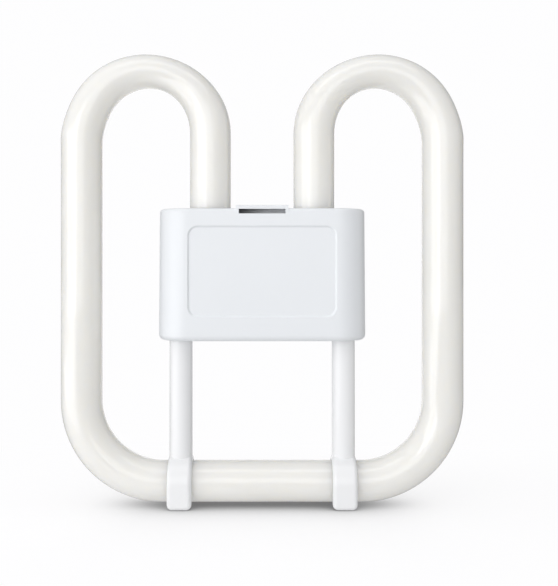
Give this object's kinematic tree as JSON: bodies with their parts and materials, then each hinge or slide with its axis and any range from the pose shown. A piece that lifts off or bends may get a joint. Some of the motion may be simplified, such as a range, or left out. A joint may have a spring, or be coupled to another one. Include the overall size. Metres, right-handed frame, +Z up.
{
  "type": "square compact fluorescent lamp",
  "caption": "Square plug-in fluorescent lamp: a bent white glass tube held by a moulded housing with a pin cap and by support legs with snap clips.",
  "frame": {"origin": "on the floor under the middle of the lamp, in the plane of the glass tube", "axes": "+X to the right seen from the front, +Y to the back towards the lampholder, +Z up"},
  "size_m": [0.1852, 0.028, 0.2069],
  "materials": {
    "coated_glass": "glossy glass, coated white inside",
    "white_plastic": "satin moulded",
    "pin_brass": "drawn, bright",
    "lead_metal": "plain wire",
    "cement": "matt, cast in place"
  },
  "bodies": {
    "root": {"discharge_tube": "coated_glass", "front_cover": "white_plastic", "rear_base": "white_plastic", "support_leg_left": "white_plastic", "support_leg_right": "white_plastic", "bonding_collar_left": "cement", "bonding_collar_right": "cement", "contact_pin_upper_left": "pin_brass", "lead_wire_upper_left": "lead_metal", "contact_pin_upper_right": "pin_brass", "lead_wire_upper_right": "lead_metal", "contact_pin_lower_left": "pin_brass", "lead_wire_lower_left": "lead_metal", "contact_pin_lower_right": "pin_brass", "lead_wire_lower_right": "lead_metal"}
  },
  "joints": []
}
